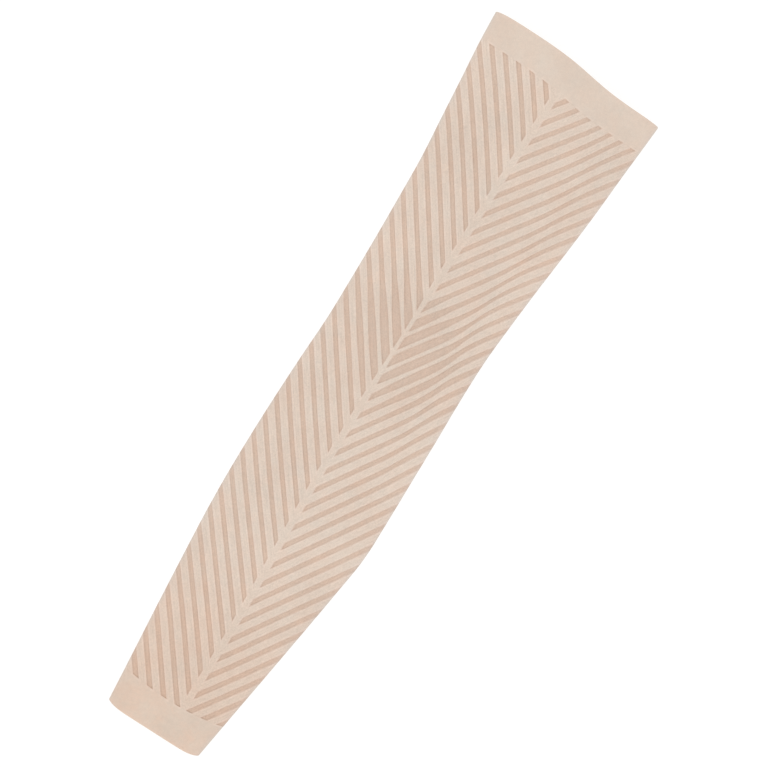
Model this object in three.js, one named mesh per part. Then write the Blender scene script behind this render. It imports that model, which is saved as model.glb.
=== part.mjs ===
// An empty knitted arm sleeve lying flat: an open tube ribbed in chevrons, with a plain turned cuff at each
// end. Millimetres, +Z up. The sleeve runs along +Y from the wrist to the upper arm and rests on z = 0.
// The origin is on the ground under the middle of the sleeve.
import * as THREE from 'three';

// Driving dimensions
const LENGTH = 430;
const RIB_WALL = 1.6;
const GROOVE_DEPTH = 0.5;
const CUFF_WALL = 1.8;
const PIECE_GAP = 0.3;

// The side folds: their height over the ground, and how far in from them the underside starts to lie flat
const FOLD_HEIGHT = 3.4;
const FOLD_REACH = 5;
const FOLD_GIRTH = (Math.PI / 2) * Math.hypot(FOLD_HEIGHT, FOLD_REACH) / Math.SQRT2;
// A higher power gives the lying tube a flatter top with rounder shoulders
const CROWN_POWER = 4;

// The chevrons: spacing along the spine, where one of them meets the spine, the sloping sides of a groove,
// and the stretch over which it runs out before a side fold, whose outline is smooth
const CHEVRON_PITCH = 11.65;
const CHEVRON_ROOT = 399.1;
const BANK_ALONG = 0.7;
const BANK_ACROSS = 0.5;
const RUN_OUT = 3.5;
const FLOOR_SIDE = -0.5;
const RIB_SIDE = 0.5;
const SPINE_HALF = 2;
const SPINE_HALF_AT_ELBOW = 1.1;

// The elbow's flex zone, where the grooves widen: its middle, its half-extents, how far its middle line leans
// down the sleeve for each millimetre to the right, and the share of the pitch that it adds to a groove
const ELBOW = {
  across: 3, along: 251, halfAcross: 28.5, halfAlong: 25, lean: 0.1, power: 4, addedShare: 0.325,
};

// Sections from the wrist hem up: distances from the middle line to the side folds, the spine's place across
// the sleeve, and the height of the lying tube
const SECTIONS = [
  { along: 0, left: 30.4, right: 26.5, spine: 6.2, height: 9.4 },
  { along: 30, left: 33.2, right: 30.6, spine: 6.0, height: 9.6 },
  { along: 60, left: 36.1, right: 34.8, spine: 5.6, height: 9.9 },
  { along: 90, left: 38.8, right: 38.9, spine: 4.2, height: 10.3 },
  { along: 115, left: 40.9, right: 42.2, spine: 2.8, height: 10.7 },
  { along: 140, left: 42.3, right: 45.1, spine: 1.3, height: 11.0 },
  { along: 165, left: 42.9, right: 45.0, spine: 0.1, height: 11.1 },
  { along: 190, left: 43.0, right: 44.4, spine: -0.7, height: 11.0 },
  { along: 215, left: 42.7, right: 43.8, spine: -1.3, height: 10.8 },
  { along: 240, left: 42.1, right: 43.0, spine: -1.9, height: 10.6 },
  { along: 265, left: 42.6, right: 42.9, spine: -2.0, height: 10.6 },
  { along: 290, left: 43.4, right: 44.3, spine: -2.2, height: 10.8 },
  { along: 315, left: 44.5, right: 46.2, spine: -2.5, height: 11.0 },
  { along: 340, left: 45.8, right: 48.4, spine: -2.6, height: 11.2 },
  { along: 365, left: 48.3, right: 50.3, spine: -2.6, height: 11.5 },
  { along: 390, left: 50.8, right: 51.7, spine: -2.6, height: 11.7 },
  { along: 410, left: 52.9, right: 53.0, spine: -2.6, height: 11.8 },
  { along: 430, left: 54.3, right: 54.2, spine: -2.6, height: 12.0 },
];

// The chevron wings from the wrist up: their rise along the sleeve for each millimetre away from the spine,
// and the groove's share of the pitch on each side
const WINGS = [
  { along: 13, leftRise: 1.31, rightRise: 1.41, leftShare: 0.42, rightShare: 0.42 },
  { along: 65, leftRise: 1.33, rightRise: 1.465, leftShare: 0.395, rightShare: 0.395 },
  { along: 130, leftRise: 1.35, rightRise: 1.428, leftShare: 0.385, rightShare: 0.38 },
  { along: 180, leftRise: 1.385, rightRise: 1.465, leftShare: 0.385, rightShare: 0.38 },
  { along: 230, leftRise: 1.42, rightRise: 1.47, leftShare: 0.39, rightShare: 0.38 },
  { along: 284, leftRise: 1.43, rightRise: 1.45, leftShare: 0.4, rightShare: 0.37 },
  { along: 338, leftRise: 1.44, rightRise: 1.43, leftShare: 0.39, rightShare: 0.375 },
  { along: 408, leftRise: 1.36, rightRise: 1.37, leftShare: 0.4, rightShare: 0.38 },
];

// The pull in the cloth that bends the right wing up: how far, at what distance from the spine, and over what
// reach
const PULLS = [
  { along: 175, up: 0, at: 31, reach: 4.3 },
  { along: 230, up: 4.9, at: 31, reach: 4.3 },
  { along: 284, up: 6.9, at: 29, reach: 4.3 },
  { along: 338, up: 4.9, at: 35, reach: 5.3 },
  { along: 408, up: 6.5, at: 37, reach: 10 },
];

// The lines across the sleeve: swing is the S that lifts a line on the left and lowers it on the right,
// centre is where that S crosses its middle, and the corner values lift a line's ends at the side folds
const LINES = {
  wristHem: { along: 0, swing: 0, centre: 0, leftCorner: 1.7, rightCorner: 1.9, cornerPower: 8 },
  wristTop: { along: 19.1, swing: 0, centre: 0, leftCorner: 2.4, rightCorner: 3.6, cornerPower: 2 },
  upperFoot: { along: 408.8, swing: 3.3, centre: 3, leftCorner: 0, rightCorner: 0, cornerPower: 8 },
  upperHem: {
    along: LENGTH - 3.2, swing: 3.2, centre: 8, leftCorner: -1, rightCorner: -0.5, cornerPower: 12,
  },
};
const SWING_REACH = 20;

// How finely the faces are divided: shares of the way from the spine to a side fold, and of the way under it
const LEFT_WING_STEPS = [0.2, 0.4, 0.6, 0.77, 0.89, 0.96, 0.99, 1];
const RIGHT_WING_STEPS = [0.14, 0.28, 0.4, 0.5, 0.6, 0.7, 0.8, 0.89, 0.96, 0.99, 1];
const CUFF_STEPS = [0.16, 0.32, 0.47, 0.6, 0.71, 0.81, 0.89, 0.95, 0.985, 1];
const UNDER_STEPS = [0.5, 1];
const LINING_ROWS = 18;
const CUFF_ROWS = 3;
const NOSE_STEPS = 4;
// A row that comes this close to the end of the ribbed tube ends there
const ROW_SNAP = 0.9;
// Chevrons whose point would lie up to this far below the wrist hem still show their wings
const WING_LENGTH = 72;
// Rounds in which a slanting line settles on the tapering sleeve
const SETTLING_ROUNDS = 20;

/** Smooth value of one column of a table at a distance along the sleeve: a cubic through its rows. */
function tableValue(rows, column, along) {
  const last = rows.length - 1;
  let i = 0;
  while (i < last - 1 && along > rows[i + 1].along) i += 1;
  const slopeAt = (k) => {
    const before = rows[Math.max(k - 1, 0)];
    const after = rows[Math.min(k + 1, last)];
    return (after[column] - before[column]) / (after.along - before.along);
  };
  const span = rows[i + 1].along - rows[i].along;
  const t = THREE.MathUtils.clamp((along - rows[i].along) / span, 0, 1);
  const rise = rows[i + 1][column] - rows[i][column];
  const start = slopeAt(i) * span;
  const end = slopeAt(i + 1) * span;
  const square = 3 * rise - 2 * start - end;
  const cube = start + end - 2 * rise;
  return rows[i][column] + t * (start + t * (square + t * cube));
}

/** The section of the lying tube at one distance along the sleeve. */
function sectionAt(along) {
  const names = ['left', 'right', 'spine', 'height'];
  const [left, right, spine, height] = names.map((name) => tableValue(SECTIONS, name, along));
  return { left, right, spine, height, middle: (right - left) / 2, half: (right + left) / 2 };
}

/** How strongly a place belongs to the elbow's flex zone: 1 in its middle, a half on its rim, 0 far away. */
function elbowWeight(across, along) {
  const toTheRight = across - ELBOW.across;
  const sideways = toTheRight / ELBOW.halfAcross;
  const lengthways = (along - ELBOW.along + ELBOW.lean * toTheRight) / ELBOW.halfAlong;
  return 0.5 ** (Math.hypot(sideways, lengthways) ** ELBOW.power);
}

/** Half the width of the plain spine between the two wings of grooves. */
function spineHalf(along) {
  return THREE.MathUtils.lerp(SPINE_HALF, SPINE_HALF_AT_ELBOW, elbowWeight(ELBOW.across, along));
}

/** How far a chevron has risen along the sleeve at a distance from the spine, measured round the cloth. */
function wingRise(side, girth, along) {
  if (side < 0) return tableValue(WINGS, 'leftRise', along) * girth;
  const [up, at, reach] = ['up', 'at', 'reach'].map((name) => tableValue(PULLS, name, along));
  const bend = (up / 2) * (Math.tanh((girth - at) / reach) + Math.tanh(at / reach));
  return tableValue(WINGS, 'rightRise', along) * girth + bend;
}

/** Half of a groove's extent along the sleeve. */
function grooveHalf(side, across, along) {
  const share = tableValue(WINGS, side < 0 ? 'leftShare' : 'rightShare', along);
  return (CHEVRON_PITCH / 2) * (share + ELBOW.addedShare * elbowWeight(across, along));
}

/** A lengthwise column of the tube: its side of the spine, distance from it, and share of the way under. */
function column(side, reachAt, under = 0) {
  return { side, reachAt, under };
}

/** The columns of one wing, from the first place past the spine over the side fold to the flat underside. */
function wingColumns(side, startAt, steps) {
  const foldAt = (along) => foldDistance(side, sectionAt(along));
  const reachAt = (step) => (along) => THREE.MathUtils.lerp(startAt(along), foldAt(along), step);
  const top = steps.map((step) => column(side, reachAt(step)));
  const below = UNDER_STEPS.map((under) => column(side, foldAt, under));
  return [...top, ...below];
}

/** Distance across the sleeve from the spine to the side fold. */
function foldDistance(side, section) {
  return side < 0 ? section.left + section.spine : section.right - section.spine;
}

/** Place across the sleeve of a column, where inset is a depth below the outer face of the ribs. */
function acrossAt(along, place, inset) {
  const section = sectionAt(along);
  const full = foldDistance(place.side, section);
  const reach = place.reachAt(along) * (full - inset) / full;
  const tuck = (FOLD_REACH - inset) * (1 - Math.cos(place.under * Math.PI / 2));
  return section.spine + place.side * (reach - tuck);
}

/** Point of a column at a depth below the outer face: crowned on top, an arc round the fold, flat below. */
function clothPoint(along, place, inset) {
  const section = sectionAt(along);
  const x = acrossAt(along, place, inset);
  if (place.under > 0) {
    const rise = 1 - Math.sin(place.under * Math.PI / 2);
    return new THREE.Vector3(x, along, inset + (FOLD_HEIGHT - inset) * rise);
  }
  const u = Math.min(1, Math.abs(x - section.middle) / (section.half - inset));
  const crown = Math.sqrt(1 - u ** CROWN_POWER);
  return new THREE.Vector3(x, along, FOLD_HEIGHT + (section.height - inset - FOLD_HEIGHT) * crown);
}

/** Distance from the wrist hem of a line across the sleeve, where it crosses a column. */
function lineAt(line, place) {
  let along = line.along;
  for (let i = 0; i < SETTLING_ROUNDS; i += 1) {
    const section = sectionAt(along);
    const x = acrossAt(along, place, 0);
    const u = (x - section.middle) / section.half;
    const corner = (u < 0 ? line.leftCorner : line.rightCorner) * Math.abs(u) ** line.cornerPower;
    along = line.along - line.swing * Math.tanh((x - line.centre) / SWING_REACH) + corner;
  }
  return along;
}

/** Depth of the groove at a place: full between the banks, none on the spine, running out at the fold. */
function grooveDepth(along, place) {
  const reach = place.reachAt(along);
  const girth = reach + place.under * FOLD_GIRTH;
  const phase = (along - CHEVRON_ROOT - wingRise(place.side, girth, along)) / CHEVRON_PITCH;
  const offset = Math.abs(phase - Math.round(phase)) * CHEVRON_PITCH;
  const half = grooveHalf(place.side, acrossAt(along, place, 0), along);
  const between = THREE.MathUtils.clamp((half + BANK_ALONG / 2 - offset) / BANK_ALONG, 0, 1);
  const pastSpine = THREE.MathUtils.clamp((reach - spineHalf(along)) / BANK_ACROSS, 0, 1);
  const fold = foldDistance(place.side, sectionAt(along));
  const runOut = THREE.MathUtils.clamp((fold - reach) / RUN_OUT, 0, 1);
  return GROOVE_DEPTH * between * pastSpine * runOut;
}

/** Where an edge of a groove crosses a column: edge is -1 or 1, bank is the foot or the top of its bank. */
function grooveEdge(chevron, edge, bank, place) {
  const root = CHEVRON_ROOT + chevron * CHEVRON_PITCH;
  let along = root;
  for (let i = 0; i < SETTLING_ROUNDS; i += 1) {
    const bounded = THREE.MathUtils.clamp(along, 0, LENGTH);
    const girth = place.reachAt(bounded) + place.under * FOLD_GIRTH;
    const half = grooveHalf(place.side, acrossAt(bounded, place, 0), bounded);
    along = root + wingRise(place.side, girth, bounded) + edge * (half + bank * BANK_ALONG);
  }
  return along;
}

/** A closed mesh from points and triangles, with triangles that have shrunk to a line or a point left out. */
function closedMesh(name, points, triangles, material) {
  const kept = triangles.filter(([a, b, c]) => a !== b && b !== c && c !== a);
  const geometry = new THREE.BufferGeometry();
  geometry.setAttribute('position', new THREE.Float32BufferAttribute(points.flatMap((p) => p.toArray()), 3));
  geometry.setIndex(kept.flat());
  geometry.computeVertexNormals();
  const mesh = new THREE.Mesh(geometry, material);
  mesh.name = name;
  return mesh;
}

/** Two triangles of a four-sided face, split along its shorter diagonal. */
function splitFace(points, a, b, c, d) {
  const firstIsShorter = points[a].distanceTo(points[c]) < points[b].distanceTo(points[d]);
  return firstIsShorter ? [[a, b, c], [a, c, d]] : [[a, b, d], [b, c, d]];
}

/** Faces between neighbouring rows of vertex numbers, where every row runs once round the tube. */
function skin(points, rows) {
  const triangles = [];
  for (let r = 0; r < rows.length - 1; r += 1) {
    for (let j = 0; j < rows[r].length; j += 1) {
      const next = (j + 1) % rows[r].length;
      triangles.push(...splitFace(points, rows[r][j], rows[r][next], rows[r + 1][next], rows[r + 1][j]));
    }
  }
  return triangles;
}

/** The ribbed tube: an outer face whose rows follow the groove edges, a plain inner face, two end faces. */
function makeSleeveBody(material) {
  const grooveStart = (along) => spineHalf(along) + BANK_ACROSS;
  const nearSpine = (side) => [column(side, spineHalf), column(side, grooveStart)];
  const left = [...nearSpine(-1), ...wingColumns(-1, grooveStart, LEFT_WING_STEPS)];
  const right = [...nearSpine(1), ...wingColumns(1, grooveStart, RIGHT_WING_STEPS)];
  const columns = [...left.reverse(), column(1, () => 0), ...right];
  const lowEnds = columns.map((place) => lineAt(LINES.wristTop, place) + PIECE_GAP / 2);
  const highEnds = columns.map((place) => lineAt(LINES.upperFoot, place) - PIECE_GAP / 2);

  const points = [];
  const addPoint = (point) => points.push(point) - 1;
  const outerPoint = (along, place) => addPoint(clothPoint(along, place, grooveDepth(along, place)));
  const lowRow = columns.map((place, j) => outerPoint(lowEnds[j], place));
  const highRow = columns.map((place, j) => outerPoint(highEnds[j], place));

  const edgeRow = (chevron, edge, bank) => columns.map((place, j) => {
    const along = grooveEdge(chevron, edge, bank, place);
    if (along < lowEnds[j] + ROW_SNAP) return lowRow[j];
    if (along > highEnds[j] - ROW_SNAP) return highRow[j];
    return outerPoint(along, place);
  });
  const firstChevron = Math.floor(-(CHEVRON_ROOT + WING_LENGTH) / CHEVRON_PITCH);
  const lastChevron = Math.ceil((LENGTH - CHEVRON_ROOT) / CHEVRON_PITCH);
  const outerRows = [lowRow];
  for (let chevron = firstChevron; chevron <= lastChevron; chevron += 1) {
    outerRows.push(edgeRow(chevron, -1, RIB_SIDE), edgeRow(chevron, -1, FLOOR_SIDE));
    outerRows.push(edgeRow(chevron, 1, FLOOR_SIDE), edgeRow(chevron, 1, RIB_SIDE));
  }
  outerRows.push(highRow);

  const liningRows = [];
  for (let i = 0; i <= LINING_ROWS; i += 1) {
    const alongOf = (j) => THREE.MathUtils.lerp(highEnds[j], lowEnds[j], i / LINING_ROWS);
    liningRows.push(columns.map((place, j) => addPoint(clothPoint(alongOf(j), place, RIB_WALL))));
  }
  return closedMesh('sleeve_body', points, skin(points, [...outerRows, ...liningRows, lowRow]), material);
}

/** A cuff: a plain turned band from its line on the sleeve to its hem, with a round nose at the turn. */
function makeCuff(name, line, hem, material) {
  const outwards = Math.sign(hem.along - line.along);
  const wing = (side) => wingColumns(side, () => 0, CUFF_STEPS);
  const columns = [...wing(-1).reverse(), column(1, () => 0), ...wing(1)];
  const noseRadius = CUFF_WALL / 2;
  const starts = columns.map((place) => lineAt(line, place) + outwards * PIECE_GAP / 2);
  const ends = columns.map((place) => lineAt(hem, place) - outwards * noseRadius);

  const points = [];
  const row = (share, inset, past) => columns.map((place, j) => {
    const along = THREE.MathUtils.lerp(starts[j], ends[j], share) + outwards * past;
    return points.push(clothPoint(along, place, inset)) - 1;
  });
  const rows = [];
  for (let i = 0; i < CUFF_ROWS; i += 1) rows.push(row(i / CUFF_ROWS, 0, 0));
  for (let i = 0; i <= NOSE_STEPS; i += 1) {
    const turn = Math.PI * i / NOSE_STEPS;
    rows.push(row(1, noseRadius * (1 - Math.cos(turn)), noseRadius * Math.sin(turn)));
  }
  for (let i = CUFF_ROWS - 1; i >= 0; i -= 1) rows.push(row(i / CUFF_ROWS, CUFF_WALL, 0));
  rows.push(rows[0]);
  if (outwards < 0) rows.reverse();
  return closedMesh(name, points, skin(points, rows), material);
}

const ribbedKnit = new THREE.MeshStandardMaterial({ color: 0xdccab9, roughness: 0.95, metalness: 0 });
const plainKnit = new THREE.MeshStandardMaterial({ color: 0xe3d0c0, roughness: 0.95, metalness: 0 });

const armSleeve = new THREE.Group();
armSleeve.add(makeSleeveBody(ribbedKnit));
armSleeve.add(makeCuff('upper_cuff', LINES.upperFoot, LINES.upperHem, plainKnit));
armSleeve.add(makeCuff('wrist_cuff', LINES.wristTop, LINES.wristHem, plainKnit));

const extent = new THREE.Box3().setFromObject(armSleeve);
const middle = extent.getCenter(new THREE.Vector3());
armSleeve.position.set(-middle.x, -middle.y, -extent.min.z);

export default armSleeve;
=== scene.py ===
"""An empty knitted arm sleeve lying flat on a pale table: an open tube ribbed in chevrons, with a plain
turned cuff at each end. Metres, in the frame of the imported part: +Y from the wrist to the upper arm,
+Z up."""

import bpy
import numpy as np
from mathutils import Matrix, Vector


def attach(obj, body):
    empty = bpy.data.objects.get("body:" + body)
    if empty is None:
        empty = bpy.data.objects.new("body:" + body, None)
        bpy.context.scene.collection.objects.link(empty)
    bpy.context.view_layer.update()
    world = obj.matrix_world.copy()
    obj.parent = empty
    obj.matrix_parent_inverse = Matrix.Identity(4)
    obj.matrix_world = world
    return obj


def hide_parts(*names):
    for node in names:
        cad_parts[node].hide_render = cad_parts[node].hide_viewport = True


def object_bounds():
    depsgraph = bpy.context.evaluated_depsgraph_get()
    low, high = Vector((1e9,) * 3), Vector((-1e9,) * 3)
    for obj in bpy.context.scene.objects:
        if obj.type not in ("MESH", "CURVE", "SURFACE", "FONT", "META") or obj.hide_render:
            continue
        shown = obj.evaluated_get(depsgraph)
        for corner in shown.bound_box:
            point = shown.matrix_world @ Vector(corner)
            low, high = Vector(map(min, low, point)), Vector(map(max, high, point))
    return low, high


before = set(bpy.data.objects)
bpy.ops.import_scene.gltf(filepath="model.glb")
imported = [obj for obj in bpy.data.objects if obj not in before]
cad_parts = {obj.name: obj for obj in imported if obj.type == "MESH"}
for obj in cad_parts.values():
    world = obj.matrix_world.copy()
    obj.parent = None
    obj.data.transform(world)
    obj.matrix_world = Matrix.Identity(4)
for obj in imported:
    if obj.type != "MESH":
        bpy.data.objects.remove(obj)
cad_box = [list(corner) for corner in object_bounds()]

# The ribbed tube
# A seamless tube of soft matt stretch yarn, knitted in the round on a fine machine. Light ribs stand up in
# chevrons that point to the wrist and meet on a plain spine, and darker stripes lie sunk between them. The
# stripes widen round the elbow, and the empty tube lies flat with a soft fold down each side.
MM = 0.001
RIB_WALL = 1.6 * MM
GROOVE_DEPTH = 0.5 * MM
RIB_CROWN = 0.12 * MM

# The side folds: their height over the table, how far in from them the underside starts to lie flat, the
# length of the quarter round between, and how flat the crown of the top is
FOLD_HEIGHT = 3.4 * MM
FOLD_REACH = 5 * MM
FOLD_GIRTH = (np.pi / 2) * np.hypot(FOLD_HEIGHT, FOLD_REACH) / np.sqrt(2)
CROWN_POWER = 4

# The chevrons: spacing along the spine, where one of them meets the spine, the sloping sides of a stripe,
# the stretch over which it runs out before a side fold, whose outline is smooth, and half the plain spine
CHEVRON_PITCH = 11.65 * MM
CHEVRON_ROOT = 399.1 * MM
BANK_ALONG = 0.7 * MM
BANK_ACROSS = 0.5 * MM
RUN_OUT = 3.5 * MM
SPINE_HALF = 2 * MM
SPINE_HALF_AT_ELBOW = 1.1 * MM

# The elbow's flex zone, where the stripes widen: its middle, its half-extents, how far its middle line leans
# down the sleeve for each unit to the right, how sharply it ends, and the share of the pitch that it adds to
# a stripe
ELBOW_ACROSS, ELBOW_ALONG = 3 * MM, 251 * MM
ELBOW_HALF_ACROSS, ELBOW_HALF_ALONG = 28.5 * MM, 25 * MM
ELBOW_LEAN = 0.1
ELBOW_POWER = 4
ELBOW_ADDED_SHARE = 0.325

# Sections from the wrist hem up: distances from the middle line to the side folds, the spine's place across
# the sleeve, and the height of the lying tube
SECTIONS = {
    "along": [0, 30, 60, 90, 115, 140, 165, 190, 215, 240, 265, 290, 315, 340, 365, 390, 410, 430],
    "left": [30.4, 33.2, 36.1, 38.8, 40.9, 42.3, 42.9, 43.0, 42.7, 42.1, 42.6, 43.4, 44.5, 45.8, 48.3, 50.8,
             52.9, 54.3],
    "right": [26.5, 30.6, 34.8, 38.9, 42.2, 45.1, 45.0, 44.4, 43.8, 43.0, 42.9, 44.3, 46.2, 48.4, 50.3, 51.7,
              53.0, 54.2],
    "spine": [6.2, 6.0, 5.6, 4.2, 2.8, 1.3, 0.1, -0.7, -1.3, -1.9, -2.0, -2.2, -2.5, -2.6, -2.6, -2.6, -2.6,
              -2.6],
    "height": [9.4, 9.6, 9.9, 10.3, 10.7, 11.0, 11.1, 11.0, 10.8, 10.6, 10.6, 10.8, 11.0, 11.2, 11.5, 11.7,
               11.8, 12.0],
}
SECTIONS = {name: np.array(values) * MM for name, values in SECTIONS.items()}

# The chevron wings from the wrist up: their rise along the sleeve for each unit away from the spine, and the
# stripe's share of the pitch on each side
WINGS = {
    "along": np.array([13, 65, 130, 180, 230, 284, 338, 408]) * MM,
    "left_rise": np.array([1.31, 1.33, 1.35, 1.385, 1.42, 1.43, 1.44, 1.36]),
    "right_rise": np.array([1.41, 1.465, 1.428, 1.465, 1.47, 1.45, 1.43, 1.37]),
    "left_share": np.array([0.42, 0.395, 0.385, 0.385, 0.39, 0.4, 0.39, 0.4]),
    "right_share": np.array([0.42, 0.395, 0.38, 0.38, 0.38, 0.37, 0.375, 0.38]),
}

# The pull in the cloth that bends the right wing up: how far, at what distance from the spine, and over
# what reach
PULLS = {
    "along": np.array([175, 230, 284, 338, 408]) * MM,
    "up": np.array([0, 4.9, 6.9, 4.9, 6.5]) * MM,
    "at": np.array([31, 31, 29, 35, 37]) * MM,
    "reach": np.array([4.3, 4.3, 4.3, 5.3, 10]) * MM,
}

# The lines across the sleeve: swing is the S that lifts a line on the left and lowers it on the right,
# centre is where that S crosses its middle, the corners lift a line's ends at the left and right folds, and
# the power says how near the fold. The rounds are how often a line is let settle
SWING_REACH = 20 * MM
LINE_ROUNDS = 20
WRIST_TOP = {"along": 19.1 * MM, "swing": 0, "centre": 0, "corners": (2.4 * MM, 3.6 * MM), "power": 2}
UPPER_FOOT = {"along": 408.8 * MM, "swing": 3.3 * MM, "centre": 3 * MM, "corners": (0, 0), "power": 8}
UPPER_HEM = {"along": 426.8 * MM, "swing": 3.2 * MM, "centre": 8 * MM, "corners": (-1 * MM, -0.5 * MM),
             "power": 12}


def table_value(table, name, along):
    """Smooth value of a column: through each pair of rows a cubic whose end slopes are those of the chords
    between the neighbours of its rows."""
    knots, values = table["along"], table[name]
    slopes = np.gradient(values, knots, edge_order=1)
    slopes[1:-1] = (values[2:] - values[:-2]) / (knots[2:] - knots[:-2])
    i = np.clip(np.searchsorted(knots, along) - 1, 0, len(knots) - 2)
    span = knots[i + 1] - knots[i]
    t = np.clip((along - knots[i]) / span, 0, 1)
    rise = values[i + 1] - values[i]
    start, end = slopes[i] * span, slopes[i + 1] * span
    return values[i] + t * (start + t * (3 * rise - 2 * start - end + t * (start + end - 2 * rise)))


def elbow_weight(across, along):
    """1 in the middle of the elbow's flex zone, a half on its oval rim, 0 far away: a half raised to a power
    of the distance in rim radii."""
    to_the_right = across - ELBOW_ACROSS
    sideways = to_the_right / ELBOW_HALF_ACROSS
    lengthways = (along - ELBOW_ALONG + ELBOW_LEAN * to_the_right) / ELBOW_HALF_ALONG
    return 0.5 ** (np.hypot(sideways, lengthways) ** ELBOW_POWER)


def spine_half(along):
    """Half the width of the plain spine, which narrows in step with the elbow's weight."""
    return SPINE_HALF + (SPINE_HALF_AT_ELBOW - SPINE_HALF) * elbow_weight(ELBOW_ACROSS, along)


def wing_rise(side, girth, along):
    """How far a chevron has risen at a distance from the spine: a slope, and on the right a smooth step
    more."""
    left = table_value(WINGS, "left_rise", along) * girth
    up, at, reach = (table_value(PULLS, name, along) for name in ("up", "at", "reach"))
    bend = up / 2 * (np.tanh((girth - at) / reach) + np.tanh(at / reach))
    return np.where(side < 0, left, table_value(WINGS, "right_rise", along) * girth + bend)


def stripe_half(side, across, along):
    """Half of a stripe's extent along the sleeve: its share of the pitch, with the elbow's share added."""
    left, right = (table_value(WINGS, name, along) for name in ("left_share", "right_share"))
    share = np.where(side < 0, left, right) + ELBOW_ADDED_SHARE * elbow_weight(across, along)
    return CHEVRON_PITCH / 2 * share


# The columns that run the length of the sleeve, for one side from the spine outwards: shares of the way over
# the plain spine, down the bank at a stripe's end, on to the fold, round under it, and in to the middle
# below. On a wing they crowd towards the fold, where the crown is steepest
WING_STEPS, UNDER_STEPS = 56, 6
WING_CROWDING = 1.5
SIDE_STEPS = [
    np.array([0.5, 1]),
    np.array([0.5, 1]),
    1 - (1 - np.linspace(0, 1, WING_STEPS + 1)[1:]) ** WING_CROWDING,
    np.linspace(0, 1, UNDER_STEPS + 1)[1:],
    np.array([0.12, 0.4, 0.7, 1]),
]
side_columns = sum(len(steps) for steps in SIDE_STEPS)
side_shares = np.zeros((len(SIDE_STEPS), side_columns))
reached = 0
for shares, steps in zip(side_shares, SIDE_STEPS):
    shares[reached:reached + len(steps)] = steps
    reached += len(steps)
    shares[reached:] = 1
spine_shares = np.zeros((len(SIDE_STEPS), 1))
COLUMN_SIDE = np.concatenate([-np.ones(side_columns), [1], np.ones(side_columns)])
COLUMN_SHARES = np.concatenate([side_shares[:, ::-1], spine_shares, side_shares], axis=1)


def cloth_surface(along, inset):
    """The lying tube at distances along the sleeve, one for each column, at a depth below the outer face of
    the ribs. Across: from the spine out to the fold by the column's shares, back in by a quarter ellipse
    under the fold, then to the middle. Up: a crown that falls from the tube's height to the fold as the root
    of one less the fourth power of the place across, the quarter ellipse, then flat. Returns the points and
    their facts."""
    plain, bank, step, under, flat = COLUMN_SHARES
    names = ("left", "right", "spine", "height")
    left, right, spine, height = (table_value(SECTIONS, name, along) for name in names)
    middle, half = (right - left) / 2, (right + left) / 2
    fold = np.where(COLUMN_SIDE < 0, left + spine, right - spine)
    spine_edge = spine_half(along)
    reach = plain * spine_edge + bank * BANK_ACROSS + step * (fold - spine_edge - BANK_ACROSS)
    turn = under * np.pi / 2
    tuck = (FOLD_REACH - inset) * (1 - np.cos(turn))
    x = spine + COLUMN_SIDE * (reach * (fold - inset) / fold - tuck)
    u = np.minimum(1, np.abs(x - middle) / (half - inset))
    top = FOLD_HEIGHT + (height - inset - FOLD_HEIGHT) * np.sqrt(1 - u ** CROWN_POWER)
    below = inset + (FOLD_HEIGHT - inset) * (1 - np.sin(turn))
    z = np.where(under > 0, below, top)
    girth = reach + under * FOLD_GIRTH + flat * np.abs(middle - x)
    x = x + flat * (middle - x)
    return {"x": x, "z": z, "reach": reach, "fold": fold, "girth": girth, "spine_edge": spine_edge,
            "u": (x - middle) / half, "under": under}


def line_along(line):
    """Where a line across the sleeve crosses each column: its S-shaped swing and its lifted corners depend
    on the place across, which depends on where the line is, so it is let settle."""
    along = np.full(len(COLUMN_SIDE), line["along"])
    for settling_round in range(LINE_ROUNDS):
        place = cloth_surface(along, 0)
        corner = np.where(place["u"] < 0, *line["corners"]) * np.abs(place["u"]) ** line["power"]
        along = line["along"] - line["swing"] * np.tanh((place["x"] - line["centre"]) / SWING_REACH) + corner
    return along


def smooth_step(value, low, high):
    """0 up to low and 1 from high, with a smooth S between."""
    t = np.clip((value - low) / (high - low), 0, 1)
    return t * t * (3 - 2 * t)


def stripe_facts(along):
    """For each column: the chevron number as a running value, half the stripe as a share of the pitch, the
    distances past the spine's edge and from the side fold, how far stripes still show under the fold, and
    the depth of the stripe with the low crown of the ribs beside it."""
    place = cloth_surface(along, 0)
    phase = (along - CHEVRON_ROOT - wing_rise(COLUMN_SIDE, place["girth"], along)) / CHEVRON_PITCH
    offset = np.abs(phase - np.round(phase)) * CHEVRON_PITCH
    half = stripe_half(COLUMN_SIDE, place["x"], along)
    sunk = 1 - smooth_step(offset, half - BANK_ALONG, half)
    rib_place = np.clip((CHEVRON_PITCH / 2 - offset) / (CHEVRON_PITCH / 2 - half), 0, 1)
    past_spine = place["reach"] - place["spine_edge"]
    from_fold = place["fold"] - place["reach"]
    raised = smooth_step(past_spine, 0, BANK_ACROSS) * smooth_step(from_fold, 0, RUN_OUT)
    depth = raised * (GROOVE_DEPTH * sunk - RIB_CROWN * (1 - rib_place ** 2))
    return {"phase": phase, "half_share": half / CHEVRON_PITCH, "past_spine": past_spine,
            "from_fold": from_fold + FOLD_REACH * (1 - np.cos(place["under"] * np.pi / 2)),
            "shown": 1 - place["under"], "depth": depth}


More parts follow.
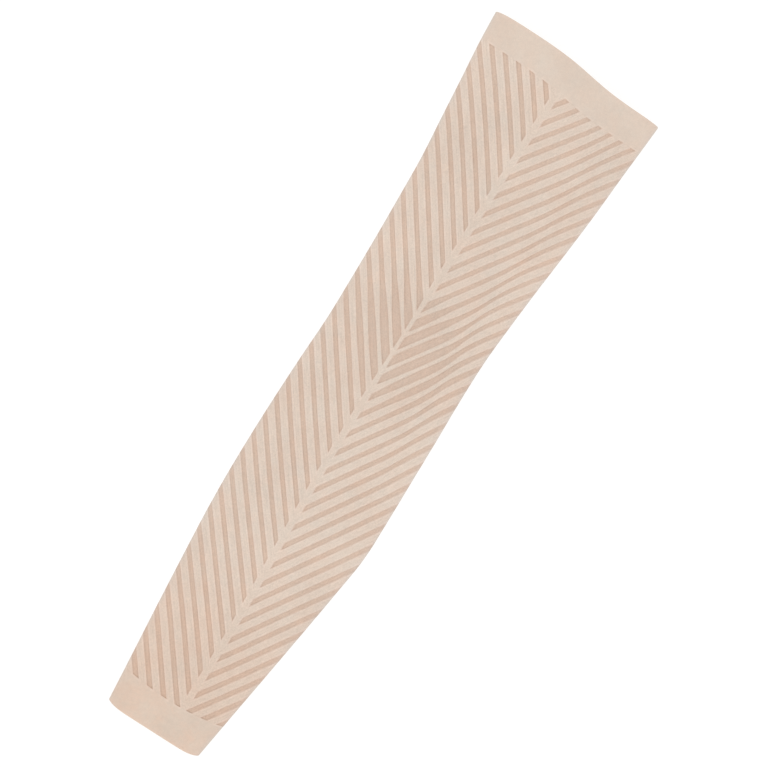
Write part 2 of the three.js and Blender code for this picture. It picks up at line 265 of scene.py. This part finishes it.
# The rows of one chevron from its middle to the next one: shares of the way over the sunk floor, up the bank
# and over the rib. The rounds are how often a row is let settle, and within the snap of the tube's end it
# joins that end
ROW_SHARES = np.array([
    [0.5, 0, 0], [1, 0, 0], [1, 0.33, 0], [1, 0.67, 0], [1, 1, 0], [1, 1, 0.35], [1, 1, 0.7], [1, 1, 1],
])
CHEVRONS = np.arange(-41, 4)
LINING_ROWS = 44
ROW_ROUNDS = 14
ROW_SNAP = 0.12 * MM
tube_low = line_along(WRIST_TOP)
tube_high = line_along(UPPER_FOOT)


def chevron_rows():
    """Distances along the sleeve of every row of every chevron on every column. A row is the chevron's own
    line with its offset added, and both depend on where the row is, so it is let settle."""
    offsets = np.concatenate([-ROW_SHARES[-2::-1], np.zeros((1, 3)), ROW_SHARES])
    floor, bank, rib = np.tile(offsets, (len(CHEVRONS), 1)).T[:, :, None]
    root = CHEVRON_ROOT + np.repeat(CHEVRONS, len(offsets))[:, None] * CHEVRON_PITCH
    along = np.broadcast_to(root, (len(root), len(COLUMN_SIDE)))
    for settling_round in range(ROW_ROUNDS):
        bounded = np.clip(along, 0, SECTIONS["along"][-1])
        place = cloth_surface(bounded, 0)
        half = stripe_half(COLUMN_SIDE, place["x"], bounded)
        offset = floor * (half - BANK_ALONG) + bank * BANK_ALONG + rib * (CHEVRON_PITCH / 2 - half)
        along = root + wing_rise(COLUMN_SIDE, place["girth"], bounded) + offset
    return along


# The sleeve's own lines set against the frame: the wrist hem is the low end of the box, and the two folds at
# the upper hem are its sides
hem_along = line_along(UPPER_HEM)
hem_across = cloth_surface(hem_along, 0)["x"]
TO_FRAME = np.array([
    (cad_box[0][0] + cad_box[1][0] - hem_across.min() - hem_across.max()) / 2,
    cad_box[0][1],
    0,
])


def face_corners(grid):
    """The four corner values of every face of a grid, going round."""
    return grid[:-1, :-1], grid[:-1, 1:], grid[1:, 1:], grid[1:, :-1]


def shell_mesh(name, along_rows, inset_rows, numbers, facts):
    """A closed shell from rows of columns. Neighbouring rows are joined all round, the last column is the
    first one again, and a face whose corners have run together is left out or becomes a triangle. It is
    smooth all over, with sharp edges only on the lines where the tube and the cuffs meet."""
    points = cloth_surface(along_rows, inset_rows)
    grid = np.stack([points["x"], along_rows, points["z"]], axis=-1) + TO_FRAME
    columns = grid.shape[1] - 1
    numbers = np.concatenate([numbers[:, :columns], numbers[:, :1]], axis=1)
    flat_numbers, first_places = np.unique(numbers[:, :columns], return_index=True)
    rows_of, columns_of = np.unravel_index(first_places, (len(numbers), columns))
    new_number = np.zeros(flat_numbers.max() + 1, int)
    new_number[flat_numbers] = np.arange(len(flat_numbers))
    numbers = new_number[numbers]

    corners = np.stack(face_corners(numbers), axis=-1).reshape(-1, 4)
    maps = np.stack([points["girth"] * COLUMN_SIDE, along_rows], axis=-1)
    corner_maps = np.stack(face_corners(maps), axis=2).reshape(-1, 4, 2)
    left_shut = corners[:, 0] == corners[:, 3]
    right_shut = corners[:, 1] == corners[:, 2]
    kinds = [
        (~left_shut & ~right_shut, [0, 1, 2, 3]),
        (left_shut & ~right_shut, [0, 1, 2]),
        (right_shut & ~left_shut, [0, 1, 3]),
    ]
    faces = [face for kind, order in kinds for face in corners[kind][:, order].tolist()]
    face_maps = np.concatenate([corner_maps[kind][:, order].reshape(-1, 2) for kind, order in kinds])

    mesh = bpy.data.meshes.new(name)
    mesh.from_pydata(grid[rows_of, columns_of].tolist(), [], faces)
    mesh.uv_layers.new(name="knit_map")
    mesh.uv_layers["knit_map"].data.foreach_set("uv", face_maps.astype(np.float32).ravel())
    for fact_name, values in facts.items():
        attribute = mesh.attributes.new(fact_name, "FLOAT", "POINT")
        attribute.data.foreach_set("value", values[rows_of, columns_of].astype(np.float32))
    mesh.shade_smooth()
    on_line = np.isclose(facts["from_line"], 0)[rows_of, columns_of]
    edge_ends = np.zeros(2 * len(mesh.edges), np.intc)
    mesh.edges.foreach_get("vertices", edge_ends)
    sharp = mesh.attributes.new("sharp_edge", "BOOLEAN", "EDGE")
    sharp.data.foreach_set("value", on_line[edge_ends].reshape(-1, 2).all(axis=1))
    piece = bpy.data.objects.new(name, mesh)
    bpy.context.scene.collection.objects.link(piece)
    return piece


def numbered(rows, low_ends, high_ends):
    """Vertex numbers for rows that end on two lines, and the rows cut off there: every row that has reached
    a line shares its vertices."""
    count = rows.shape[1]
    below = rows < low_ends + ROW_SNAP
    above = rows > high_ends - ROW_SNAP
    own = 2 * count + np.arange(rows.size).reshape(rows.shape)
    numbers = np.where(below, np.arange(count), np.where(above, count + np.arange(count), own))
    return numbers, np.where(below, low_ends, np.where(above, high_ends, rows))


outer_numbers, outer_along = numbered(
    np.concatenate([tube_low[None], chevron_rows(), tube_high[None]]), tube_low, tube_high)
lining_share = np.linspace(0, 1, LINING_ROWS)[:, None]
lining_along = tube_high + (tube_low - tube_high) * lining_share
lining_numbers = outer_numbers.max() + 1 + np.arange(lining_along.size).reshape(lining_along.shape)
tube_along = np.concatenate([outer_along, lining_along, tube_low[None]])
tube_numbers = np.concatenate([outer_numbers, lining_numbers, outer_numbers[:1]])
tube_facts = stripe_facts(tube_along)
is_lining = np.zeros((len(tube_along), 1))
is_lining[len(outer_along):-1] = 1
tube_inset = np.where(is_lining == 1, RIB_WALL, tube_facts.pop("depth"))
tube_facts["shown"] = tube_facts["shown"] * (1 - is_lining)
tube_facts["from_line"] = np.minimum(tube_along - tube_low, tube_high - tube_along)
sleeve_body = shell_mesh("sleeve_body_knit", tube_along, tube_inset, tube_numbers, tube_facts)

# The yarn: light where the ribs stand up and darker and warmer down in the stripes. The tints multiply it:
# towards the wrist, in patches, in the wide stripes of the elbow, in stripes stretched over the upper arm,
# as a painted shadow just inside a stripe's rim and at its end by the wrist, as a painted highlight beside
# it, and as painted shade towards a side fold, deeper and greyer in the fold's turn
RIB_COLOUR = (0.747, 0.624, 0.533)
STRIPE_COLOUR = (0.690, 0.529, 0.430)
WRIST_TINT = (0.984, 0.934, 0.902)
PINK_TINT = (1.020, 0.982, 0.950)
YELLOW_TINT = (0.982, 1.010, 1.010)
ELBOW_TINT = (0.97, 0.97, 0.975)
STRETCH_TINT = (1.02, 1.025, 1.03)
SHADOW_TINT = (0.96, 0.96, 0.96)
STRIPE_END_SHADOW_TINT = (0.93, 0.925, 0.90)
RIM_HIGHLIGHT_TINT = (1.06, 1.05, 1.06)
FOLD_SHADE_TINT = (0.98, 0.98, 0.99)
TURN_SHADE_TINT = (0.94, 0.985, 1.015)


def socket_value(tree, socket, value):
    """Sets an input to a number, or links another node's output to it."""
    if isinstance(value, bpy.types.NodeSocket):
        tree.links.new(value, socket)
    else:
        socket.default_value = value


def calc(tree, operation, *values):
    """Result of a Math node."""
    node = tree.nodes.new("ShaderNodeMath")
    node.operation = operation
    for socket, value in zip(node.inputs, values):
        socket_value(tree, socket, value)
    return node.outputs[0]


def between(tree, value, low, high, out_low=0.0, out_high=1.0):
    """Result of a smooth Map Range node from low..high to out_low..out_high."""
    node = tree.nodes.new("ShaderNodeMapRange")
    node.interpolation_type = "SMOOTHSTEP"
    for socket, number in zip(node.inputs, (value, low, high, out_low, out_high)):
        socket_value(tree, socket, number)
    return node.outputs[0]


def blended(tree, share, first, second, how="MIX"):
    """Result of a colour Mix node."""
    node = tree.nodes.new("ShaderNodeMix")
    node.data_type = "RGBA"
    node.blend_type = how
    for name, value in (("Factor_Float", share), ("A_Color", first), ("B_Color", second)):
        socket = next(s for s in node.inputs if s.identifier == name)
        socket_value(tree, socket, (*value, 1) if isinstance(value, tuple) else value)
    return next(s for s in node.outputs if s.identifier == "Result_Color")


# Noise: how strong its finer detail is, and the spread that brings most of its values within -1 to 1
NOISE_ROUGHNESS = 0.7
NOISE_SPREAD = 4.0


def mottle(tree, vector, size, detail=2.0):
    """Value of a noise pattern with patches of about a given size, centred on 0."""
    node = tree.nodes.new("ShaderNodeTexNoise")
    node.inputs["Scale"].default_value = 1 / size
    node.inputs["Detail"].default_value = detail
    node.inputs["Roughness"].default_value = NOISE_ROUGHNESS
    tree.links.new(vector, node.inputs["Vector"])
    return calc(tree, "MULTIPLY_ADD", node.outputs[0], NOISE_SPREAD, -NOISE_SPREAD / 2)


def dimmed(tree, colour, level):
    """A colour multiplied in all channels by a level."""
    node = tree.nodes.new("ShaderNodeVectorMath")
    node.operation = "SCALE"
    socket_value(tree, node.inputs["Vector"], colour)
    socket_value(tree, node.inputs["Scale"], level)
    return node.outputs[0]


def tinted(tree, share, colour, tint):
    """A colour multiplied by a tint, as far as a share says."""
    return blended(tree, share, colour, blended(tree, 1.0, colour, tint, "MULTIPLY"))


# Where the yarn starts to grow warmer on its way down to the wrist, and where it is warmest
WRIST_FADE = (-90 * MM, -215 * MM)


def wrist_share(tree, vector):
    """0 from the middle of the forearm up and 1 at the wrist, from a place in Object coordinates."""
    place = tree.nodes.new("ShaderNodeSeparateXYZ")
    tree.links.new(vector, place.inputs[0])
    return between(tree, place.outputs["Y"], *WRIST_FADE)


def new_group(name, inputs, outputs):
    """An empty shader node group with named sockets, with its input node's outputs and its output node's
    inputs."""
    tree = bpy.data.node_groups.new(name, "ShaderNodeTree")
    for socket, kind in inputs.items():
        tree.interface.new_socket(socket, in_out="INPUT", socket_type=kind)
    for socket, kind in outputs.items():
        tree.interface.new_socket(socket, in_out="OUTPUT", socket_type=kind)
    return tree, tree.nodes.new("NodeGroupInput").outputs, tree.nodes.new("NodeGroupOutput").inputs


def placed(tree, group, values):
    """A group's node in a material, with its inputs set, and its outputs."""
    node = tree.nodes.new("ShaderNodeGroup")
    node.node_tree = group
    for name, value in values.items():
        socket_value(tree, node.inputs[name], value)
    return node.outputs


# Stitches: every wale is a column of small V-shaped loops, sizes in millimetres. A loop's two legs are
# raised in the middle and slant up away from the wale's centre line, and each course dips where it goes
# under the next. Down between the loops the yarn is rougher and darkened by painted shade, with no change
# to its mean tone
WALE, COURSE = 0.8, 0.62
COURSE_DIP = 0.35
LOOP_SHADE = 0.18
LOOP_MEAN = 2 / np.pi * (1 - COURSE_DIP)
LOOP_ROUGHNESS = (0.96, 0.86)
LOOP_RELIEF = 0.05 * MM
stitches, given, made = new_group(
    "knit_stitches",
    {name: "NodeSocketFloat" for name in ("Across", "Along", "Wale", "Course")},
    {"Height": "NodeSocketFloat"})
wale_place = calc(stitches, "FRACT", calc(stitches, "DIVIDE", given["Across"], given["Wale"]))
leg = calc(stitches, "ABSOLUTE", calc(stitches, "MULTIPLY_ADD", wale_place, 2.0, -1.0))
leg_round = calc(stitches, "SINE", calc(stitches, "MULTIPLY", leg, np.pi))
course_place = calc(stitches, "SUBTRACT", calc(stitches, "DIVIDE", given["Along"], given["Course"]), leg)
course_wave = calc(stitches, "COSINE", calc(stitches, "MULTIPLY", course_place, 2 * np.pi))
course_round = calc(stitches, "MULTIPLY_ADD", course_wave, COURSE_DIP, 1 - COURSE_DIP)
stitches.links.new(calc(stitches, "MULTIPLY", leg_round, course_round), made["Height"])

# Yarn tone: a warmer tone towards the wrist, patches of pinker and yellower yarn that may grow stronger
# there, broad unevenness from knitting and handling, and a fine speckle
PATCH_SIZE, BROAD_SIZE, SPECKLE_SIZE = 13 * MM, 30 * MM, 0.9 * MM
PATCH_STRENGTH = 0.5
BROAD_TONE = 0.05
yarn_tone, given, made = new_group(
    "yarn_tone",
    {"Vector": "NodeSocketVector", "Color": "NodeSocketColor", "Speckle": "NodeSocketFloat",
     "Wrist Patches": "NodeSocketFloat"},
    {"Color": "NodeSocketColor"})
to_wrist = wrist_share(yarn_tone, given["Vector"])
toned = tinted(yarn_tone, to_wrist, given["Color"], WRIST_TINT)
patch_strength = calc(yarn_tone, "MULTIPLY_ADD", to_wrist, given["Wrist Patches"], PATCH_STRENGTH)
patch = mottle(yarn_tone, given["Vector"], PATCH_SIZE, detail=4.0)
pink_to_yellow = calc(yarn_tone, "MULTIPLY_ADD", patch, patch_strength, 0.5)
patch_tint = blended(yarn_tone, pink_to_yellow, PINK_TINT, YELLOW_TINT)
toned = blended(yarn_tone, 1.0, toned, patch_tint, "MULTIPLY")
broad = mottle(yarn_tone, given["Vector"], BROAD_SIZE, detail=5.0)
speckle = mottle(yarn_tone, given["Vector"], SPECKLE_SIZE)
level = calc(yarn_tone, "MULTIPLY_ADD", broad, BROAD_TONE, 1.0)
level = calc(yarn_tone, "MULTIPLY_ADD", speckle, given["Speckle"], level)
yarn_tone.links.new(dimmed(yarn_tone, toned, level), made["Color"])

# Chevron masks: the distance in millimetres into a stripe, from its edges, the spine and the cuffs, gives
# the stripe, the thin painted shadow line just inside its rim, and the painted highlight rim just outside.
# The slant turns a distance along the sleeve into one square to an edge. A stripe's upper edge is softer
# than its lower one, with a fainter painted shadow line and with the painted highlight farther out, and the
# change is at its middle
SLANT = 0.58
SHADOW_REACH = (0.85, 0.3)
RIM_REACH = (-1.1, -0.35)
UPPER_SOFTER, UPPER_FAINTER, UPPER_FARTHER = 0.6, 0.45, 0.15
MIDDLE_BLEND = 0.05
chevron_masks, given, made = new_group(
    "chevron_masks",
    {name: "NodeSocketFloat" for name in ("Phase", "Half", "Past Spine", "From Line", "Shown", "Softness")},
    {name: "NodeSocketFloat" for name in ("Stripe", "Shadow Line", "Highlight Rim")})
centred = calc(chevron_masks, "FRACT", calc(chevron_masks, "ADD", given["Phase"], 0.5))
centred = calc(chevron_masks, "SUBTRACT", centred, 0.5)
into_stripe = calc(chevron_masks, "SUBTRACT", given["Half"], calc(chevron_masks, "ABSOLUTE", centred))
into_stripe = calc(chevron_masks, "MULTIPLY", into_stripe, SLANT * CHEVRON_PITCH / MM)
for limit in ("Past Spine", "From Line"):
    distance = calc(chevron_masks, "DIVIDE", given[limit], MM)
    into_stripe = calc(chevron_masks, "MINIMUM", into_stripe, distance)
upper_edge = between(chevron_masks, centred, -MIDDLE_BLEND, MIDDLE_BLEND)
softer = calc(chevron_masks, "MULTIPLY_ADD", upper_edge, UPPER_SOFTER, 1.0)
softness = calc(chevron_masks, "MULTIPLY", given["Softness"], softer)
stripe = between(chevron_masks, into_stripe, calc(chevron_masks, "MULTIPLY", softness, -1.0), softness)
fainter = calc(chevron_masks, "MULTIPLY_ADD", upper_edge, -UPPER_FAINTER, 1.0)
shadow_line = calc(chevron_masks, "MULTIPLY", between(chevron_masks, into_stripe, *SHADOW_REACH), stripe)
shadow_line = calc(chevron_masks, "MULTIPLY", shadow_line, fainter)
rim_place = calc(chevron_masks, "MULTIPLY_ADD", upper_edge, UPPER_FARTHER, into_stripe)
highlight_rim = calc(chevron_masks, "SUBTRACT", between(chevron_masks, rim_place, *RIM_REACH), stripe)
for name, mask in (("Stripe", stripe), ("Shadow Line", shadow_line), ("Highlight Rim", highlight_rim)):
    chevron_masks.links.new(calc(chevron_masks, "MULTIPLY", mask, given["Shown"]), made[name])


# The yarn's low gloss, the strip along the spine where a value changes from wing to wing, how soft a
# stripe's edge is on the left and right wings, and the distances from a side fold over which painted shade
# dims the yarn and then greys it
YARN_SPECULAR = 0.2
SPINE_BLEND = 1.0
EDGE_SOFTNESS = (0.18, 0.55)
FOLD_DIM = (5 * MM, 1 * MM)
FOLD_TURN = (1.5 * MM, 0.3 * MM)


def knit_material(name):
    """A matt yarn material: its tree, its shader, Object coordinates, and the map's across and along in
    millimetres."""
    material = bpy.data.materials.new(name)
    material.use_nodes = True
    tree = material.node_tree
    shader = tree.nodes["Principled BSDF"]
    shader.inputs["Specular IOR Level"].default_value = YARN_SPECULAR
    coordinates = tree.nodes.new("ShaderNodeTexCoord").outputs["Object"]
    knit_map = tree.nodes.new("ShaderNodeUVMap")
    knit_map.uv_map = "knit_map"
    parts = tree.nodes.new("ShaderNodeSeparateXYZ")
    tree.links.new(knit_map.outputs[0], parts.inputs[0])
    across, along = (calc(tree, "MULTIPLY", parts.outputs[axis], 1 / MM) for axis in ("X", "Y"))
    return material, tree, shader, coordinates, across, along


def fact(tree, name):
    """A value that a knitted mesh carries on its vertices."""
    node = tree.nodes.new("ShaderNodeAttribute")
    node.attribute_name = name
    return node.outputs["Fac"]


def by_wing(tree, across, left, right):
    """A value for each wing, blended over the strip along the spine."""
    return between(tree, across, -SPINE_BLEND, SPINE_BLEND, left, right)


def masks_of(tree, across):
    """The chevron masks of a knitted mesh. The stripes' edges are softer on the right wing."""
    inputs = {"Phase": "phase", "Half": "half_share", "Past Spine": "past_spine", "From Line": "from_line",
              "Shown": "shown"}
    values = {socket: fact(tree, name) for socket, name in inputs.items()}
    values["Softness"] = by_wing(tree, across, *EDGE_SOFTNESS)
    return placed(tree, chevron_masks, values)


def finish_knit(tree, shader, coordinates, across, along, colour, speckle, wrist_patches, relief):
    """Paints shade on the yarn towards a side fold, darker and greyer where it turns there, paints shade
    down between its stitches, tones it, and raises its stitches."""
    from_fold = fact(tree, "from_fold")
    # Painted shade towards a side fold, deeper and greyer where the cloth turns round it
    colour = tinted(tree, between(tree, from_fold, *FOLD_DIM), colour, FOLD_SHADE_TINT)
    colour = tinted(tree, between(tree, from_fold, *FOLD_TURN), colour, TURN_SHADE_TINT)
    loop_inputs = {"Across": across, "Along": along, "Wale": WALE, "Course": COURSE}
    loops = placed(tree, stitches, loop_inputs)["Height"]
    # Painted shade down between the loops, where they sink below the yarn's mean
    colour = dimmed(tree, colour, calc(tree, "MULTIPLY_ADD", loops, LOOP_SHADE, 1 - LOOP_SHADE * LOOP_MEAN))
    tree.links.new(between(tree, loops, 0.0, 1.0, *LOOP_ROUGHNESS), shader.inputs["Roughness"])
    tone = placed(tree, yarn_tone, {
        "Vector": coordinates, "Color": colour, "Speckle": speckle, "Wrist Patches": wrist_patches})
    tree.links.new(tone["Color"], shader.inputs["Base Color"])
    bump = tree.nodes.new("ShaderNodeBump")
    bump.inputs["Strength"].default_value = 1.0
    bump.inputs["Distance"].default_value = LOOP_RELIEF
    tree.links.new(calc(tree, "ADD", loops, relief), bump.inputs["Height"])
    tree.links.new(bump.outputs[0], shader.inputs["Normal"])


# The ribs and stripes: half-shares of a stripe where the elbow's tones start and are full, the stretch of
# the sleeve in millimetres where the right wing's stripes grow paler, the reach of the painted shadow at a
# stripe's end by the wrist, what is left of the painted shadow line and the painted highlight rim at the
# elbow, and the speckle
ELBOW_TONE_SHARES = (0.21, 0.32)
STRETCH_FROM = (270.0, 300.0)
STRIPE_END_REACH = (0.7 * MM, 0.2 * MM)
ELBOW_SHADOW, ELBOW_RIM = 0.5, 0.1
RIB_SPECKLE = 0.085
ribbed_knit, tree, shader, coordinates, across, along = knit_material("ribbed_knit")
masks = masks_of(tree, across)
at_elbow = between(tree, fact(tree, "half_share"), *ELBOW_TONE_SHARES)
stretched = calc(tree, "MULTIPLY", by_wing(tree, across, 0.0, 1.0), between(tree, along, *STRETCH_FROM))
stripe_colour = tinted(tree, at_elbow, STRIPE_COLOUR, ELBOW_TINT)
stripe_colour = tinted(tree, stretched, stripe_colour, STRETCH_TINT)
colour = blended(tree, masks["Stripe"], RIB_COLOUR, stripe_colour)
elbow_shadow = between(tree, at_elbow, 0.0, 1.0, 1.0, ELBOW_SHADOW)
shadow_share = calc(tree, "MULTIPLY", masks["Shadow Line"], elbow_shadow)
colour = tinted(tree, shadow_share, colour, SHADOW_TINT)
# Painted shadow: a thin dark line at a stripe's end by the wrist cuff
by_cuff = between(tree, fact(tree, "from_line"), *STRIPE_END_REACH)
by_wrist_cuff = calc(tree, "MULTIPLY", by_cuff, wrist_share(tree, coordinates))
end_shadow_share = calc(tree, "MULTIPLY", masks["Stripe"], by_wrist_cuff)
colour = tinted(tree, end_shadow_share, colour, STRIPE_END_SHADOW_TINT)
# Painted highlight: a pale rim on the rib beside each stripe, nearly gone at the elbow
elbow_rim = between(tree, at_elbow, 0.0, 1.0, 1.0, ELBOW_RIM)
highlight_share = calc(tree, "MULTIPLY", masks["Highlight Rim"], elbow_rim)
colour = tinted(tree, highlight_share, colour, RIM_HIGHLIGHT_TINT)

# Fine lines of yarn run with the stripes: how many for each chevron, how often they break in a millimetre
# across the left and right wings, and how much they show in tone and in relief
LINES_EACH = 11.0
LINE_BREAKS = (0.12, 0.4)
LINE_TONE, LINE_RELIEF = 0.075, 0.2
line_place = tree.nodes.new("ShaderNodeCombineXYZ")
lines_across = calc(tree, "MULTIPLY", across, by_wing(tree, across, *LINE_BREAKS))
tree.links.new(calc(tree, "MULTIPLY", fact(tree, "phase"), LINES_EACH), line_place.inputs["X"])
tree.links.new(lines_across, line_place.inputs["Y"])
yarn_line = mottle(tree, line_place.outputs[0], 1.0)
colour = dimmed(tree, colour, calc(tree, "MULTIPLY_ADD", yarn_line, LINE_TONE, 1.0))
line_relief = calc(tree, "MULTIPLY", yarn_line, LINE_RELIEF)
finish_knit(tree, shader, coordinates, across, along, colour, RIB_SPECKLE, 0.0, line_relief)

sleeve_body.data.materials.append(ribbed_knit)
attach(sleeve_body, "root")
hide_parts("sleeve_body")

# The upper cuff
# A plain welt at the upper-arm end, knitted on from the tube in the same yarn without ribs and turned in
# double, so its hem is a soft round edge with a painted highlight. It lies in a shallow S, higher on the
# left.
CUFF_WALL = 1.8 * MM
CUFF_ROWS, NOSE_STEPS = 12, 10

# The plain knit: the hem's painted highlight and its reach from the edge, a grain coarser than a stitch, the
# yarn's speckle, and how much stronger its patches grow at the wrist
HEM_HIGHLIGHT_TINT = (1.025, 1.015, 1.015)
HEM_REACH = (2.6 * MM, 1.2 * MM)
GRAIN_SIZE, GRAIN_TONE = 2.4 * MM, 0.035
CUFF_SPECKLE, CUFF_PATCHES = 0.03, 0.5


def cuff_mesh(name, line, hem):
    """A turned band between a line on the sleeve and its hem: the outer face in even rows, a half-round nose
    at the hem, and the inner face in even rows back to the line."""
    outwards = np.sign(hem["along"] - line["along"])
    nose = CUFF_WALL / 2
    starts = line_along(line)
    edge = line_along(hem)
    ends = edge - outwards * nose
    shares = np.linspace(0, 1, CUFF_ROWS)[:-1]
    face = np.zeros(len(shares))
    turn = np.linspace(0, np.pi, NOSE_STEPS + 1)
    share = np.concatenate([shares, np.ones(len(turn)), shares[::-1], [0]])[:, None]
    inset = np.concatenate([face, nose * (1 - np.cos(turn)), face + CUFF_WALL, [0]])
    past = np.concatenate([face, nose * np.sin(turn), face, [0]])
    along = starts + (ends - starts) * share + outwards * past[:, None]
    inset = np.broadcast_to(inset[:, None], along.shape)
    numbers = np.arange(along.size).reshape(along.shape)
    numbers[-1] = numbers[0]
    facts = stripe_facts(along)
    facts["from_line"] = -np.abs(along - starts)
    facts["shown"] = facts["shown"] * (inset == 0)
    facts["from_hem"] = np.abs(edge - along) + inset
    del facts["depth"]
    if outwards < 0:
        along, inset, numbers = along[::-1], inset[::-1], numbers[::-1]
        facts = {fact_name: values[::-1] for fact_name, values in facts.items()}
    return shell_mesh(name, along, inset, numbers, facts)


plain_knit, tree, shader, coordinates, across, along = knit_material("plain_knit")
# Painted highlight beside the stripes' ends, as on the ribbed knit
colour = tinted(tree, masks_of(tree, across)["Highlight Rim"], RIB_COLOUR, RIM_HIGHLIGHT_TINT)
# Painted highlight along the hem's round edge
colour = tinted(tree, between(tree, fact(tree, "from_hem"), *HEM_REACH), colour, HEM_HIGHLIGHT_TINT)
grain = mottle(tree, coordinates, GRAIN_SIZE, detail=3.0)
colour = dimmed(tree, colour, calc(tree, "MULTIPLY_ADD", grain, GRAIN_TONE, 1.0))
finish_knit(tree, shader, coordinates, across, along, colour, CUFF_SPECKLE, CUFF_PATCHES, 0.0)

upper_cuff = cuff_mesh("upper_cuff_knit", UPPER_FOOT, UPPER_HEM)
upper_cuff.data.materials.append(plain_knit)
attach(upper_cuff, "root")
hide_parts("upper_cuff")

# The wrist cuff
# The same plain turned welt at the wrist end, in the warmest yarn of the sleeve. Its hem is straight with
# rounded corners, and it is knitted narrowest because it grips the wrist.
WRIST_HEM = {"along": 0, "swing": 0, "centre": 0, "corners": (1.7 * MM, 1.9 * MM), "power": 8}
wrist_cuff = cuff_mesh("wrist_cuff_knit", WRIST_TOP, WRIST_HEM)
wrist_cuff.data.materials.append(plain_knit)
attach(wrist_cuff, "root")
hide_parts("wrist_cuff")

# The table, the light and the camera
# A plain white table top that glows a little, as a light table does, under an even white sky, with one large
# soft lamp beyond the wrist. The camera looks straight down, turned so that the upper arm points up right.
TABLE_HALF = 15
TABLE_TOP = -0.1 * MM
TABLE_GREY, TABLE_ROUGHNESS, TABLE_GLOW = 0.3, 0.9, 0.77
SKY_LEVEL = 0.97
LAMP_SIZE, LAMP_WATTS = 1.2, 2.5
LAMP_PLACE = (-0.3, -1.5, 1.5)
LAMP_TILT, LAMP_TURN = np.radians(45), np.radians(-11)
table_signs = ((-1, -1), (1, -1), (1, 1), (-1, 1))
table_corners = [(x * TABLE_HALF, y * TABLE_HALF, TABLE_TOP) for x, y in table_signs]
table_mesh = bpy.data.meshes.new("table_top")
table_mesh.from_pydata(table_corners, [], [(0, 1, 2, 3)])
table_top = bpy.data.objects.new("table_top", table_mesh)
bpy.context.scene.collection.objects.link(table_top)
table_white = bpy.data.materials.new("table_white")
table_white.use_nodes = True
shader = table_white.node_tree.nodes["Principled BSDF"]
shader.inputs["Base Color"].default_value = (TABLE_GREY, TABLE_GREY, TABLE_GREY, 1)
shader.inputs["Roughness"].default_value = TABLE_ROUGHNESS
shader.inputs["Emission Color"].default_value = (1, 1, 1, 1)
shader.inputs["Emission Strength"].default_value = TABLE_GLOW
table_mesh.materials.append(table_white)

sky = bpy.data.worlds.new("studio_sky")
sky.use_nodes = True
sky.node_tree.nodes["Background"].inputs["Color"].default_value = (1, 1, 1, 1)
sky.node_tree.nodes["Background"].inputs["Strength"].default_value = SKY_LEVEL
bpy.context.scene.world = sky
bpy.context.scene.view_settings.view_transform = "Standard"

lamp_data = bpy.data.lights.new("soft_lamp", "AREA")
lamp_data.size = LAMP_SIZE
lamp_data.energy = LAMP_WATTS
lamp = bpy.data.objects.new("soft_lamp", lamp_data)
lamp.location = LAMP_PLACE
lamp.rotation_euler = (LAMP_TILT, 0, LAMP_TURN)
bpy.context.scene.collection.objects.link(lamp)

# A long lens keeps the view almost parallel: the width of the frame at the sleeve's top, the point that the
# camera aims at, and its turn
FRAME_WIDTH = 415.4 * MM
AIM_ACROSS, AIM_ALONG, AIM_HEIGHT = 3.4 * MM, 11.09 * MM, 11 * MM
CAMERA_TURN = np.radians(32.546)
LENS = 600
FAR_CLIP = 50
camera_data = bpy.data.cameras.new("camera")
camera_data.lens = LENS
camera_data.clip_end = FAR_CLIP
camera = bpy.data.objects.new("camera", camera_data)
camera_distance = FRAME_WIDTH * LENS / camera_data.sensor_width
camera.location = (AIM_ACROSS, AIM_ALONG, AIM_HEIGHT + camera_distance)
camera.rotation_euler = (0, 0, CAMERA_TURN)
bpy.context.scene.collection.objects.link(camera)
bpy.context.scene.camera = camera
